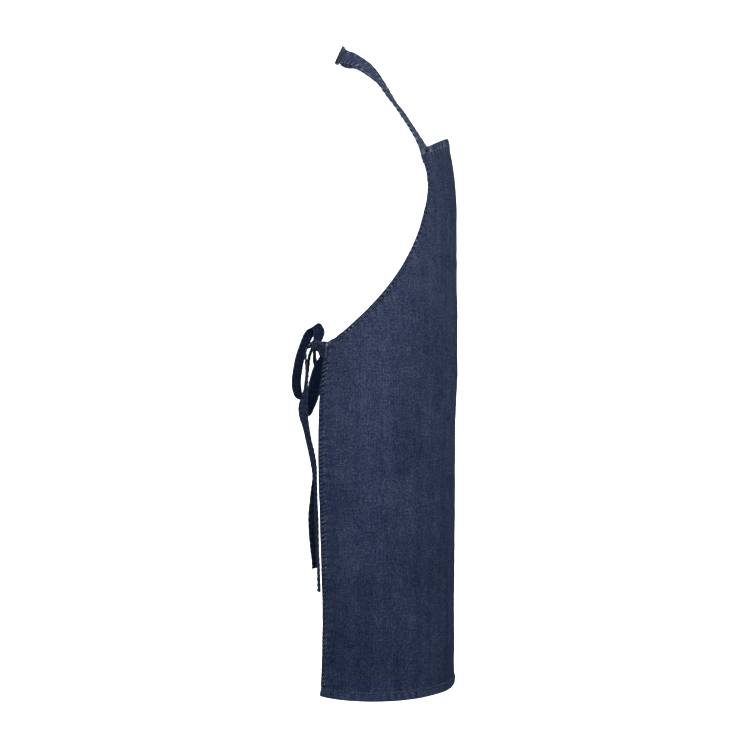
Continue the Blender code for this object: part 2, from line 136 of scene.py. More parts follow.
def wrap(across, height, outward=0.0):
    """(places, normals) on the wearer for arrays of distances from the centre front and heights."""
    across, height = np.broadcast_arrays(np.asarray(across, float), np.asarray(height, float))
    shape = across.shape
    flat_s, z = across.ravel(), height.ravel()
    near_tie = np.exp(-(((z - TIE_HEIGHT) / TIE_PULL_REACH) ** 2))
    pull = TIE_PULL * near_tie * np.abs(flat_s / HALF_SKIRT) ** TIE_PULL_POWER
    s = flat_s * (1 - pull / HALF_SKIRT)
    front, wide, deep = (np.interp(z, FORM_ROWS[:, 0], FORM_ROWS[:, k]) for k in (1, 2, 3))
    angles = np.linspace(0, math.pi, 181)
    slope = np.hypot(wide[:, None] * np.cos(angles), deep[:, None] * np.sin(angles))
    arc = np.cumsum((slope[:, 1:] + slope[:, :-1]) / 2, axis=1) * (angles[1] - angles[0])
    arc = np.hstack([np.zeros((len(s), 1)), arc])
    found = np.clip((arc <= np.abs(s)[:, None]).sum(1) - 1, 0, 179)
    each = np.arange(len(s))
    part = (np.abs(s) - arc[each, found]) / (arc[each, found + 1] - arc[each, found])
    angle = (found + part) * (angles[1] - angles[0]) * np.sign(s)
    fade = np.clip((z - DROP_END) / (BIB_TOP - DROP_END), 0, 1)
    drop = CORNER_DROP * fade**2 * (np.abs(flat_s) / HALF_BIB) ** DROP_POWER
    low = np.clip((WAIST - z) / (WAIST - HEM), 0, 1)
    drop += FRONT_SAG * low**2 * np.exp(-((flat_s / FRONT_SAG_REACH) ** 2))
    places = np.stack([front - deep * (1 - np.cos(angle)), wide * np.sin(angle), z - drop], 1)
    normals = np.stack([wide * np.cos(angle), deep * np.sin(angle), np.zeros_like(s)], 1)
    normals /= np.linalg.norm(normals, axis=1)[:, None]
    places += normals * np.broadcast_to(outward, shape).ravel()[:, None]
    return places.reshape(*shape, 3), normals.reshape(*shape, 3)


def armhole(turn, inset=0.0):
    """(across, height) on the armhole's edge, from the bib at turn 0 to the waist corner at turn 1."""

    def edge(t):
        angle = t * math.pi / 2
        wide = 1 - max(math.cos(angle), 0.0) ** (2 / ARMHOLE_POWER)
        down = math.sin(angle) ** (2 / ARMHOLE_POWER)
        return Vector(
            (HALF_BIB + (HALF_SKIRT - HALF_BIB) * wide, ARMHOLE_START + (WAIST - ARMHOLE_START) * down)
        )

    ahead, behind = edge(min(turn + 0.01, 1.0)), edge(max(turn - 0.01, 0.0))
    direction = (ahead - behind).normalized()
    return edge(turn) + Vector((direction.y, -direction.x)) * inset


ARMHOLE = np.array([armhole(t) for t in np.linspace(0, 1, 160)])


def half_cut(height):
    """Half the cloth's width at a height, to its very edge."""
    wide = np.interp(height, ARMHOLE[::-1, 1], ARMHOLE[::-1, 0])
    return np.where(height > ARMHOLE_START, HALF_BIB, np.where(height < WAIST, HALF_SKIRT, wide))


# ---------------------------------------------------------------- noise and meshes


def waves(x, y, scale_x, scale_y, seed):
    """Smooth noise from -1 to 1 over two arrays in metres."""
    shape = np.broadcast(x, y).shape
    flat = zip(np.broadcast_to(x, shape).ravel(), np.broadcast_to(y, shape).ravel())
    found = [noise.noise((a * scale_x, b * scale_y, seed * 7.31)) for a, b in flat]
    return np.array(found).reshape(shape) * 1.6


def grid_faces(rows, columns, around=False):
    """Quads of a grid of rows by columns of points, closed round its columns if around."""
    i, j = np.meshgrid(np.arange(rows - 1), np.arange(columns if around else columns - 1), indexing="ij")
    after = (j + 1) % columns
    corners = [i * columns + j, i * columns + after, (i + 1) * columns + after, (i + 1) * columns + j]
    return np.stack([c.ravel() for c in corners], 1)


def make_mesh(name, points, faces, wear_and_painted_light, cloth, finish):
    """A smooth mesh object with its wear and painted light and its place on the flat cloth kept at each
    point.
    """
    mesh = bpy.data.meshes.new(name)
    mesh.from_pydata(points.reshape(-1, 3).tolist(), [], [list(map(int, f)) for f in faces])
    mesh.attributes.new("wear_and_painted_light", "FLOAT", "POINT").data.foreach_set("value", wear_and_painted_light.ravel().astype(np.float32))
    flat = np.zeros((wear_and_painted_light.size, 3), np.float32)
    flat[:, :2] = cloth.reshape(-1, 2)
    mesh.attributes.new("cloth", "FLOAT_VECTOR", "POINT").data.foreach_set("vector", flat.ravel())
    mesh.shade_smooth()
    mesh.materials.append(finish)
    obj = bpy.data.objects.new(name, mesh)
    bpy.context.scene.collection.objects.link(obj)
    return obj


def closed_band(name, middle, normals, half, lift, wear_and_painted_light, cloth, finish):
    """A soft folded band: a closed skin round a strip of middle points, rows along it by columns across."""
    rows = half.shape[0]
    top = middle + normals * (lift + half)[..., None]
    under = (middle + normals * (lift - half)[..., None])[:, ::-1]
    ring = np.concatenate([top, under[:, 1:-1]], axis=1)
    skin_wear_and_painted_light = np.concatenate([wear_and_painted_light, wear_and_painted_light[:, ::-1][:, 1:-1]], axis=1)
    skin_cloth = np.concatenate([cloth, cloth[:, ::-1][:, 1:-1]], axis=1)
    around = ring.shape[1]
    faces = [list(f)[::-1] for f in grid_faces(rows, around, True)]
    faces.append(list(range(around)))
    faces.append([(rows - 1) * around + k for k in range(around)][::-1])
    obj = make_mesh(name, ring, faces, skin_wear_and_painted_light, skin_cloth, finish)
    fix_facing(obj)
    return obj


def fix_facing(obj):
    """Turns every face outwards."""
    work = bmesh.new()
    work.from_mesh(obj.data)
    bmesh.ops.recalc_face_normals(work, faces=work.faces)
    work.to_mesh(obj.data)
    work.free()


def rounded(across, thickness, power=6):
    """Half thickness over a band's width, round at both edges; across runs from -1 to 1."""
    return thickness / 2 * (np.clip(1 - np.abs(across) ** power, 0, 1) ** 0.5) + 0.00004


def puckers(along, pitch, seed):
    """Uneven ridges along a seam, about one each pitch, from -1 to 1."""
    bend = waves(along, 0 * along, 22, 1, seed) * 0.45 + waves(along, 0 * along, 7, 1, seed + 1) * 0.8
    ridge = np.sin(2 * math.pi * (along / pitch + bend))
    strength = 0.62 + 0.55 * waves(along, 0 * along, 33, 1, seed + 2)
    return ridge * np.clip(strength, 0.12, 1.2)


# ---------------------------------------------------------------- materials


def link(tree, a, b):
    tree.links.new(a, b)


def node(tree, kind, **values):
    made = tree.nodes.new(kind)
    for name, value in values.items():
        if hasattr(made, name):
            setattr(made, name, value)
        else:
            made.inputs[name.replace("_", " ")].default_value = value
    return made


def maths(tree, operation, a, b=None, clamp=False):
    made = tree.nodes.new("ShaderNodeMath")
    made.operation = operation
    made.use_clamp = clamp
    for socket, value in zip(made.inputs, (a, b)):
        if value is None:
            continue
        if isinstance(value, (int, float)):
            socket.default_value = value
        else:
            link(tree, value, socket)
    return made.outputs[0]


def noise_of(tree, vector, scale, detail, stretch=(1, 1, 1), roughness=0.6):
    """A noise texture on the cloth's own coordinates, less its middle value."""
    mapping = node(tree, "ShaderNodeMapping")
    mapping.inputs["Scale"].default_value = stretch
    link(tree, vector, mapping.inputs["Vector"])
    made = node(tree, "ShaderNodeTexNoise", Scale=scale, Detail=detail, Roughness=roughness)
    link(tree, mapping.outputs[0], made.inputs["Vector"])
    return maths(tree, "SUBTRACT", made.outputs["Fac"], 0.5)


def denim(name, tone=0.0, fade=1.0, mottle=1.0, depth=1.0):
    """Washed twill: diagonal ribs, pale slubs, a mottled wash, paler ridges where it is worn, and the painted
    light and shade carried with the wear at each point.
    """
    made = bpy.data.materials.new(name)
    made.use_nodes = True
    tree = made.node_tree
    shader = tree.nodes["Principled BSDF"]
    place = node(tree, "ShaderNodeAttribute", attribute_name="cloth").outputs["Vector"]
    wear_and_painted_light = node(tree, "ShaderNodeAttribute", attribute_name="wear_and_painted_light").outputs["Fac"]

    blotch = noise_of(tree, place, 9, 3)
    cloud = noise_of(tree, place, 45, 4)
    fleck = noise_of(tree, place, 330, 3, roughness=0.7)
    speck = noise_of(tree, place, 900, 2)
    streak = noise_of(tree, place, 60, 3, stretch=(1.0, 0.045, 1))
    slub = noise_of(tree, place, 600, 2, stretch=(1.0, 0.08, 1))
    weft = noise_of(tree, place, 600, 2, stretch=(0.08, 1.0, 1))

    turn = node(tree, "ShaderNodeMapping")
    turn.inputs["Rotation"].default_value = (0, 0, math.radians(28))
    link(tree, place, turn.inputs["Vector"])
    ribs = node(tree, "ShaderNodeTexWave", Scale=460, Distortion=2.4, Detail=2.0)
    ribs.inputs["Detail Scale"].default_value = 1.6
    link(tree, turn.outputs[0], ribs.inputs["Vector"])
    rib = maths(tree, "SUBTRACT", ribs.outputs["Fac"], 0.5)

    amount = maths(tree, "MULTIPLY", blotch, 0.22 * mottle)
    shares = ((cloud, 0.22), (fleck, 1.05), (speck, 0.50), (streak, 0.24), (slub, 0.5), (weft, 0.28))
    for part, share in shares:
        amount = maths(tree, "ADD", amount, maths(tree, "MULTIPLY", part, share * mottle))
    amount = maths(tree, "ADD", amount, maths(tree, "MULTIPLY", rib, 0.10))
    # adds the rubbed wear together with the painted light and shade kept at each point
    amount = maths(tree, "ADD", amount, maths(tree, "MULTIPLY", wear_and_painted_light, fade))
    amount = maths(tree, "ADD", amount, 0.36 + tone, clamp=True)

    ramp = node(tree, "ShaderNodeValToRGB")
    stops = ((0.0, DEEP), (0.34, INDIGO), (0.72, WASHED), (1.0, WORN))
    ramp.color_ramp.elements[0].position = stops[0][0]
    ramp.color_ramp.elements[0].color = (*stops[0][1], 1)
    ramp.color_ramp.elements[1].position = stops[-1][0]
    ramp.color_ramp.elements[1].color = (*stops[-1][1], 1)
    for at, colour in stops[1:-1]:
        ramp.color_ramp.elements.new(at).color = (*colour, 1)
    link(tree, amount, ramp.inputs[0])
    link(tree, ramp.outputs[0], shader.inputs["Base Color"])

    rough = maths(tree, "ADD", maths(tree, "MULTIPLY", cloud, 0.25), 0.90, clamp=True)
    link(tree, rough, shader.inputs["Roughness"])
    height = maths(tree, "MULTIPLY", rib, 0.55)
    for part, share in ((fleck, 1.1), (speck, 0.8), (slub, 0.9), (weft, 0.6)):
        height = maths(tree, "ADD", height, maths(tree, "MULTIPLY", part, share))
    bump = node(tree, "ShaderNodeBump", Strength=0.75, Distance=0.00042 * depth)
    link(tree, height, bump.inputs["Height"])
    link(tree, bump.outputs[0], shader.inputs["Normal"])
    shader.inputs["Specular IOR Level"].default_value = 0.0
    return made


def thread_material():
    made = bpy.data.materials.new("sewing_thread")
    made.use_nodes = True
    tree = made.node_tree
    shader = tree.nodes["Principled BSDF"]
    place = node(tree, "ShaderNodeAttribute", attribute_name="cloth").outputs["Vector"]
    twist = node(tree, "ShaderNodeTexWave", Scale=900, Distortion=0.5)
    twist.bands_direction = "DIAGONAL"
    link(tree, place, twist.inputs["Vector"])
    mix = node(tree, "ShaderNodeMix", data_type="RGBA")
    mix.inputs["A"].default_value = (0.014, 0.019, 0.038, 1)
    mix.inputs["B"].default_value = (0.042, 0.050, 0.080, 1)
    link(tree, twist.outputs["Fac"], mix.inputs["Factor"])
    link(tree, mix.outputs["Result"], shader.inputs["Base Color"])
    bump = node(tree, "ShaderNodeBump", Strength=0.5, Distance=0.0001)
    link(tree, twist.outputs["Fac"], bump.inputs["Height"])
    link(tree, bump.outputs[0], shader.inputs["Normal"])
    rough = maths(tree, "ADD", maths(tree, "MULTIPLY", twist.outputs["Fac"], 0.2), 0.55)
    link(tree, rough, shader.inputs["Roughness"])
    return made


def slider_material():
    """Black coated metal, worn a little lighter along its edges."""
    made = bpy.data.materials.new("black_coated_metal")
    made.use_nodes = True
    tree = made.node_tree
    shader = tree.nodes["Principled BSDF"]
    place = node(tree, "ShaderNodeTexCoord").outputs["Object"]
    grain = noise_of(tree, place, 900, 4)
    scuff = noise_of(tree, place, 160, 3)
    edge = node(tree, "ShaderNodeNewGeometry").outputs["Pointiness"]
    worn = maths(tree, "MULTIPLY", maths(tree, "SUBTRACT", edge, 0.53), 6.0, clamp=True)
    worn = maths(tree, "MULTIPLY", worn, maths(tree, "ADD", scuff, 0.55, clamp=True), clamp=True)
    mix = node(tree, "ShaderNodeMix", data_type="RGBA")
    mix.inputs["A"].default_value = (0.0045, 0.0045, 0.005, 1)
    mix.inputs["B"].default_value = (0.016, 0.016, 0.018, 1)
    link(tree, worn, mix.inputs["Factor"])
    link(tree, mix.outputs["Result"], shader.inputs["Base Color"])
    rough = maths(tree, "ADD", maths(tree, "MULTIPLY", scuff, 0.35), 0.42, clamp=True)
    link(tree, rough, shader.inputs["Roughness"])
    bump = node(tree, "ShaderNodeBump", Strength=0.3, Distance=0.00006)
    link(tree, grain, bump.inputs["Height"])
    link(tree, bump.outputs[0], shader.inputs["Normal"])
    shader.inputs["Specular IOR Level"].default_value = 0.12
    return made


CLOTH_DENIM = denim("washed_denim")
HEM_DENIM = denim("hem_denim", tone=0.02, fade=1.0)
STRAP_DENIM = denim("strap_denim", tone=0.17, fade=1.0)
# The ties, knot and bow get a darker tone as painted shade, for the bow lying in shadow at the wearer's back.
SHADED_TIE_DENIM = denim("tie_denim", tone=-0.10, fade=1.0)
THREAD = thread_material()


# ---------------------------------------------------------------- the apron's cloth


def seam_distance(s, z):
    """How far each point of the cloth is from the nearest hem's seam, and how far along that seam."""
    edge = np.abs(s)
    options = [
        (HALF_SKIRT - SIDE_HEM - edge + 10 * (z > WAIST), z),
        (z - HEM - BOTTOM_HEM + 0 * s, s),
        (BIB_TOP - TOP_HEM - z + 0 * s, s),
    ]
    turn = np.cumsum(np.r_[0, np.linalg.norm(np.diff(ARMHOLE, axis=0), axis=1)])
    flat = np.stack([edge.ravel(), z.ravel()], 1)
    gaps = np.linalg.norm(flat[:, None] - ARMHOLE[None, ::2], axis=2)
    nearest = gaps.argmin(1)
    reach = gaps[np.arange(len(flat)), nearest].reshape(s.shape) - ARMHOLE_HEM
    options.append((reach, turn[::2][nearest].reshape(s.shape)))
    return options


def cloth_lift(s, z):
    """How far the cloth stands off the wearer's shape: soft folds, creases and puckered seams."""
    low = np.clip((WAIST - z) / (WAIST - HEM), 0, 1)
    lift = 0.0030 * low**1.3 * waves(s, z, 9.0, 1.3, 1)
    lift += 0.0011 * waves(s, z, 14, 9, 2) + 0.00055 * waves(s, z, 38, 22, 3)
    lift += 0.00028 * waves(s, z, 90, 60, 4)
    for side in (-1, 1):
        from_corner_s = side * s - (HALF_SKIRT - 0.02)
        from_corner_z = z - (WAIST - 0.018)
        reach = np.hypot(from_corner_s, from_corner_z)
        angle = np.arctan2(from_corner_z, -from_corner_s)
        pull = np.cos(angle * 7.5 + side * 0.6 + waves(s, z, 16, 16, 5 + side) * 0.9)
        lift += 0.0016 * pull * np.exp(-reach / 0.045) * np.clip(reach / 0.018, 0, 1)
        crease_s, crease_z = side * s - 0.075, z - (BIB_TOP - 0.030)
        along_crease = crease_s * 0.55 - crease_z * 0.83
        across_crease = crease_s * 0.83 + crease_z * 0.55
        lift += 0.0011 * np.exp(-((along_crease / 0.022) ** 2) - (across_crease / 0.006) ** 2)
        lift -= 0.0009 * np.exp(-((along_crease / 0.020) ** 2) - ((across_crease - 0.010) / 0.006) ** 2)
    return lift


def cloth_wear_and_painted_light(s, z, lift):
    """Paler where the wash rubbed ridges and seams, darker in the hollows, and paler towards the top and
    darker towards the bottom as painted light from above.
    """
    wear_and_painted_light = 0.03 * waves(s, z, 26, 16, 11)
    # painted light: the cloth is made paler towards the top and darker towards the bottom, as if lit from
    # above
    wear_and_painted_light = wear_and_painted_light + 0.10 * np.clip((z + 0.62) / 0.45, 0, 1) - 0.11 * np.clip((-0.60 - z) / 0.40, 0, 1)
    return wear_and_painted_light + 2.16 * lift


def make_cloth():
    rows = np.linspace(BIB_TOP - TUCK, HEM + TUCK, 262)
    columns = np.linspace(-1, 1, 203)
    z = np.repeat(rows[:, None], len(columns), axis=1)
    s = columns[None, :] * (half_cut(rows)[:, None] - TUCK)
    lift = cloth_lift(s, z)
    wear_and_painted_light = cloth_wear_and_painted_light(s, z, lift)
    rubbed = (0.20, 0.05, 0.24, 0.16)
    for k, (distance, along) in enumerate(seam_distance(s, z)):
        near = np.exp(-np.clip(distance, 0, 1) / 0.0075) * (distance > -0.02)
        ridge = puckers(along, 0.0125, 20 + 3 * k)
        lift += 0.00080 * near * ridge
        wear_and_painted_light += rubbed[k] * near * ridge + 0.02 * near
    places, _ = wrap(s, z, lift)
    faces = grid_faces(len(rows), len(columns))[:, ::-1]
    cloth = make_mesh("apron_cloth", places, faces, wear_and_painted_light, np.stack([s, z], -1), CLOTH_DENIM)
    shell = cloth.modifiers.new("Thickness", "SOLIDIFY")
    shell.thickness = CLOTH
    shell.offset = 0.0
    return cloth


def hem(name, across, height, thickness, pitch, seed, width, pale=0.5, shade=0.0, seam_dark=0.22):
    """A turned and topstitched edge.

    across and height: (rows, columns) of places on the flat cloth, outer edge first; pale: how far the wash
    rubbed its puckers; shade: how much paler or darker it is overall; seam_dark: how dark its seam is."""
    columns = across.shape[1]
    u = np.linspace(-1, 1, columns)[None, :]
    base_lift = cloth_lift(across, height)
    step = np.hypot(np.diff(across[:, 0]), np.diff(height[:, 0]))
    along = np.r_[0, np.cumsum(step)][:, None]
    ridge = puckers(along, pitch, seed)
    slant = puckers(along + 0.35 * (u + 1) * width / 2, pitch, seed)
    profile = np.exp(-(((u - 0.55) / 0.5) ** 2)) * 0.8 + 0.35
    groove = np.exp(-(((u - 0.66) / 0.13) ** 2))
    half = rounded(u, thickness) * (1 + 0.22 * slant * profile) - 0.00042 * groove
    half = np.clip(np.broadcast_to(half, across.shape), 0.00012, None)
    lift = base_lift + 0.00090 * slant * profile
    wear_and_painted_light = shade + pale * slant * profile + 0.20 * np.exp(-((np.abs(u) - 1) / 0.10) ** 2) - seam_dark * groove
    wear_and_painted_light = np.broadcast_to(wear_and_painted_light + 0.06 * np.clip(ridge, 0, 1), across.shape)
    middle, normals = wrap(across, height)
    cloth = np.stack([across, height], -1)
    return closed_band(name, middle, normals, half, lift, wear_and_painted_light, cloth, HEM_DENIM)


def make_hems():
    u = np.linspace(0, 1, 11)[None, :]
    made = []
    s = np.linspace(-HALF_BIB, HALF_BIB, 160)[:, None]
    z = BIB_TOP - TOP_HEM * u + 0 * s
    made.append(hem("top_hem", s + 0 * u, z, 0.0030, 0.020, 41, TOP_HEM, 0.42, 0.12))
    s = np.linspace(-HALF_SKIRT, HALF_SKIRT, 380)[:, None]
    z = HEM + BOTTOM_HEM * u + 0 * s
    made.append(hem("lower_hem", s + 0 * u, z, 0.0029, 0.013, 51, BOTTOM_HEM, 0.14, -0.06))
    for name, side in (("left", 1), ("right", -1)):
        z = np.linspace(WAIST - 0.001, HEM + BOTTOM_HEM + 0.0006, 300)[:, None]
        across = side * (HALF_SKIRT - SIDE_HEM * u + 0 * z)
        look = (0.0029, 0.0066, 61 + side, SIDE_HEM, 0.70, -0.12, 0.5)
        made.append(hem(f"skirt_hem_{name}", across, z + 0 * u, *look))
        straight = np.linspace(BIB_TOP - TOP_HEM - 0.0006, ARMHOLE_START, 22)[:-1]
        turns = np.linspace(0, 1, 170)
        path_s, path_z = [], []
        for k in u[0]:
            curve = [armhole(t, ARMHOLE_HEM * k) for t in turns]
            path_s.append([HALF_BIB - ARMHOLE_HEM * k] * len(straight) + [p.x for p in curve])
            path_z.append(list(straight) + [p.y for p in curve])
        across, height = side * np.array(path_s).T, np.array(path_z).T
        look = (0.0028, 0.0085, 71 + side, ARMHOLE_HEM, 0.52, -0.02, 0.8)
        made.append(hem(f"arm_hem_{name}", across, height, *look))
    return made


# ---------------------------------------------------------------- bands: straps, ties, loops and tails


SEAM_AT = 0.80
SEAMS = {}


def band_shape(points, thickness, pitch, seed, side, step, folds, u):
    """How a folded band lies: its middle surface, thickness, lift and puckers at the places u across it."""
    length = np.linalg.norm(np.diff(smooth_through(points, 200)[:, :3], axis=0), axis=1).sum()
    count = max(int(length / step), 12)
    rows = smooth_through(points, count)
    middle = rows[:, :3] * (1, side, 1)
    along = np.gradient(middle, axis=0)
    along /= np.linalg.norm(along, axis=1)[:, None]
    across = rows[:, 3:6] * (1, side, 1)
    across = across - (across * along).sum(1)[:, None] * along
    across /= np.linalg.norm(across, axis=1)[:, None]
    normals = np.repeat(np.cross(along, across)[:, None], u.shape[1], axis=1)
    far = (np.arange(count) * length / (count - 1))[:, None]
    ridge = puckers(far, pitch, seed)
    other = puckers(far, pitch, seed + 40)
    puckered = np.exp(-((u - 0.72) / 0.30) ** 2) * ridge + np.exp(-((u + 0.72) / 0.30) ** 2) * other
    groove = np.exp(-((np.abs(u) - SEAM_AT) / 0.07) ** 2)
    half = rounded(u, thickness) * (1 + 0.20 * puckered) - 0.00028 * groove
    half = np.clip(half, 0.0001, None)
    squeeze = np.clip(1 - rows[:, 6] / rows[:, 6].max(), 0, 1)[:, None]
    crumple = folds * squeeze * np.cos(u * 9 + far * 60)
    lift = 0.00060 * puckered + 0.0004 * waves(far, 0 * far, 40, 1, seed + 5) + crumple
    centre = middle[:, None] + across[:, None] * (u * rows[:, 6:7] / 2)[..., None]
    return length, far, centre, normals, half, np.broadcast_to(lift, half.shape), puckered, groove


def band(
    name, points, thickness, pitch, seed, finish, slot, side=1, step=0.0016, edges=1.0, folds=0.0, shade=0.0
):
    """A folded denim band with a puckered seam along each edge.

    points: x, y, z, the direction of its width, then its width; pitch and seed: its puckers; edges: how far
    they are rubbed pale; folds: how high it crumples where it narrows; shade: paler or darker overall, which
    on the bow's loops is painted shade."""
    shape = (points, thickness, pitch, seed, side, step, folds)
    u = np.array([[-SEAM_AT, SEAM_AT]])
    length, _, centre, normals, half, lift, _, _ = band_shape(*shape, u)
    SEAMS[name] = [
        (centre[:, k] + normals[:, k] * (lift + face * half)[:, k, None], normals[:, k] * face)
        for k in (0, 1)
        for face in (-1, 1)
    ]
    u = np.linspace(-1, 1, 15)[None, :]
    _, far, centre, normals, half, lift, puckered, groove = band_shape(*shape, u)
    wear_and_painted_light = shade + edges * (0.42 * np.exp(-((np.abs(u) - 1) / 0.075) ** 2) + 0.42 * puckered) - 0.20 * groove
    wear_and_painted_light = np.broadcast_to(wear_and_painted_light + 0 * far, half.shape)
    cloth = np.stack([u * TIE_WIDTH / 2 + 0 * far + seed * 0.1, far + 0 * u], -1)
    return closed_band(name, centre, normals, half, lift, wear_and_painted_light, cloth, finish)


def lean(depth, along, across=0.0):
    """A point at the back of the neck: depth out from the inner face, along +Y, across up the strap."""
    inner = Vector((math.cos(STRAP_LEAN), 0, -math.sin(STRAP_LEAN)))
    upward = Vector((math.sin(STRAP_LEAN), 0, math.cos(STRAP_LEAN)))
    return -inner * depth + upward * across + Vector((0, along, 0))


def strap_points(start, depth, rise=0.0):
    """The neck strap on the wearer's left, from the back of the neck to behind the bib's corner."""
    up = (math.sin(STRAP_LEAN), 0.0, math.cos(STRAP_LEAN))
    back = [(*lean(depth, start), *up, STRAP_WIDTH)]
    if start < 0:
        back += [(*lean(depth, y), *up, STRAP_WIDTH) for y in (-0.011, 0.0, 0.011, 0.022)]
    else:
        back += [(-0.0009, 0.0200, 0.0005, *up, STRAP_WIDTH), (0.0010, 0.0290, -0.0025, *up, STRAP_WIDTH)]
    tab, tab_end = (wrap(HALF_BIB - 0.0135, BIB_TOP - d, -0.0030)[0] for d in (0.006, 0.034))
    return [
        *back,
        (0.0062, 0.0405, -0.0060 + rise * 0.6, 0.30, -0.40, 0.84, STRAP_WIDTH),
        (0.0175, 0.0490, -0.0098 + rise, 0.35, -0.48, 0.78, STRAP_WIDTH),
        (0.0318, 0.0560, -0.0180 + rise, 0.37, -0.64, 0.66, STRAP_WIDTH),
        (0.0438, 0.0630, -0.0284 + rise, 0.32, -0.79, 0.53, STRAP_WIDTH),
        (0.0580, 0.0700, -0.0424 + rise * 0.8, 0.26, -0.91, 0.33, STRAP_WIDTH),
        (0.0706, 0.0780, -0.0586 + rise * 0.5, 0.23, -0.95, 0.24, STRAP_WIDTH),
        (0.0893, 0.0890, -0.0849 + rise * 0.2, 0.20, -0.96, 0.21, STRAP_WIDTH),
        (0.1049, 0.0980, -0.1051, 0.21, -0.96, 0.21, STRAP_WIDTH),
        (0.1199, 0.1080, -0.1284, 0.27, -0.94, 0.20, STRAP_WIDTH),
        (0.1331, 0.1165, -0.1498, 0.36, -0.92, 0.18, STRAP_WIDTH),
        (0.1368, 0.1185, -0.1565, 0.42, -0.89, 0.16, STRAP_WIDTH),
        (*tab, 0.55, -0.83, 0.10, STRAP_WIDTH),
        (*tab_end, 0.55, -0.83, 0.10, STRAP_WIDTH),
    ]


def make_straps():
    finish = (STRAP_DENIM, "strap_denim")
    route = strap_points(FREE_END, FREE_DEPTH, STRAP_RISE)
    left = band("strap_left", route, 0.0019, 0.011, 101, *finish)
    route = strap_points(-FIXED_END, FIXED_DEPTH)
    right = band("strap_right", route, 0.0019, 0.011, 131, *finish, side=-1)
    up = (math.sin(STRAP_LEAN), 0.0, math.cos(STRAP_LEAN))
    turn = [(-0.0150, 0.0029), (-0.009, 0.0027), (-0.004, 0.0026), (0.0012, 0.0027), (0.0041, 0.0060)]
    turn += [(0.0012, 0.0094), (-0.0020, 0.0094), (-0.0046, 0.0078)]
    loop = [(*lean(d, y), *up, STRAP_WIDTH - 0.0006) for y, d in turn]
    fold = band("slider_loop", loop, 0.0011, 0.011, 151, *finish, step=0.0007)
    return left, right, fold


def make_slider():
    """The slide: two side bars, two end bars and a middle bar, rolled round at their edges."""
    upright = (SLIDER_THICK, SIDE_BAR, SLIDER_LENGTH - END_BAR)
    beside = (SLIDER_WIDTH - SIDE_BAR) / 2
    bars = [((0, y, 0), upright) for y in (0, -beside, beside)]
    bars += [((0, 0, z), (SLIDER_THICK, SLIDER_WIDTH, END_BAR)) for z in (-END_BAR_AT, END_BAR_AT)]
    pieces = []
    for centre, size in bars:
        mesh = bpy.data.meshes.new("slide_bar")
        work = bmesh.new()
        bmesh.ops.create_cube(work, size=1)
        bmesh.ops.scale(work, vec=size, verts=work.verts)
        bmesh.ops.translate(work, vec=centre, verts=work.verts)
        work.to_mesh(mesh)
        work.free()
        bar = bpy.data.objects.new("slide_bar", mesh)
        bpy.context.scene.collection.objects.link(bar)
        pieces.append(bar)
    first = pieces[0]
    first.name = "strap_slide"
    for other in pieces[1:]:
        join = first.modifiers.new("Join", "BOOLEAN")
        join.operation = "UNION"
        join.object = other
    bevel = first.modifiers.new("Rounding", "BEVEL")
    bevel.width = 0.0007
    bevel.segments = 4
    bevel.limit_method = "ANGLE"
    graph = bpy.context.evaluated_depsgraph_get()
    mesh = bpy.data.meshes.new_from_object(first.evaluated_get(graph))
    first.modifiers.clear()
    first.data = mesh
    for other in pieces[1:]:
        bpy.data.objects.remove(other)
    mesh.shade_smooth()
    mesh.set_sharp_from_angle(angle=math.radians(50))
    mesh.materials.clear()
    mesh.materials.append(slider_material())
    first.location = lean(SLIDER_DEPTH, 0.0)
    first.rotation_euler = (0, STRAP_LEAN, 0)
    return first


def make_ties():
    finish = (SHADED_TIE_DENIM, "tie_denim")
    made = []
    for name, side in (("left", 1), ("right", -1)):
        sewn, corner = (wrap(HALF_SKIRT - d, TIE_HEIGHT, -0.0022)[0] for d in (0.026, 0.005))
        points = [
            (*sewn, 0, 0, 1, TIE_WIDTH),
            (*corner, 0, 0, 1, TIE_WIDTH),
            (-0.0100, 0.1640, -0.4885, 0, 0, 1, TIE_WIDTH),
            (-0.0205, 0.1400, -0.4830, 0, 0, 1, 0.019),
            (-0.0275, 0.1050, -0.4785, 0, 0, 1, 0.015),
            (-0.0335, 0.0700, -0.4760, 0.1, 0, 1, 0.013),
            (-0.0370, 0.0400, -0.4752, 0.2, 0, 1, 0.012),
            (-0.0390, 0.0105, -0.4755, 0.2, 0, 1, 0.011),
            (-0.0450, 0.0020, -0.4770, 0.3, 0, 1, 0.010),
        ]
        made.append(
            band(f"tie_{name}", points, 0.0022, 0.010, 201 + 7 * side, *finish, side, folds=0.0016)
        )
    return made


def make_knot():
    """The knot: one turn of the band drawn tight round the other, in soft folds."""
    around = np.linspace(0, 2 * math.pi, 65)[:-1]
    width = np.linspace(-1, 1, 23)
    a, u = np.meshgrid(around, width, indexing="ij")
    pinch = 1 - 0.30 * np.abs(u) ** 2.4
    fold = 0.0011 * np.cos(u * 7.5 + 0.9 * np.sin(a * 2 + 0.6)) + 0.0006 * np.sin(a * 5 + u * 2)
    radius_x, radius_z = 0.0072 * pinch + fold, 0.0092 * pinch + fold
    skew = 0.0026 * np.sin(a)
    x = KNOT.x + radius_x * np.cos(a)
    y = KNOT.y + u * 0.0098 * (1 + 0.12 * np.cos(a * 2)) + skew
    z = KNOT.z + radius_z * np.sin(a)
    rows, columns = a.shape
    points = np.stack([x, y, z], -1)
    wear_and_painted_light = 110 * fold + 0.10 * (np.abs(u) > 0.9) - 0.05
    faces = [list(f) for f in grid_faces(columns, rows, True)]
    points = points.transpose(1, 0, 2)
    wear_and_painted_light = wear_and_painted_light.T
    faces.append(list(range(rows)))
    faces.append([(columns - 1) * rows + k for k in range(rows)][::-1])
    cloth = np.stack([a.T * 0.01, u.T * 0.01], -1)
    knot = make_mesh("knot", points, faces, wear_and_painted_light, cloth, SHADED_TIE_DENIM)
    fix_facing(knot)
    return knot


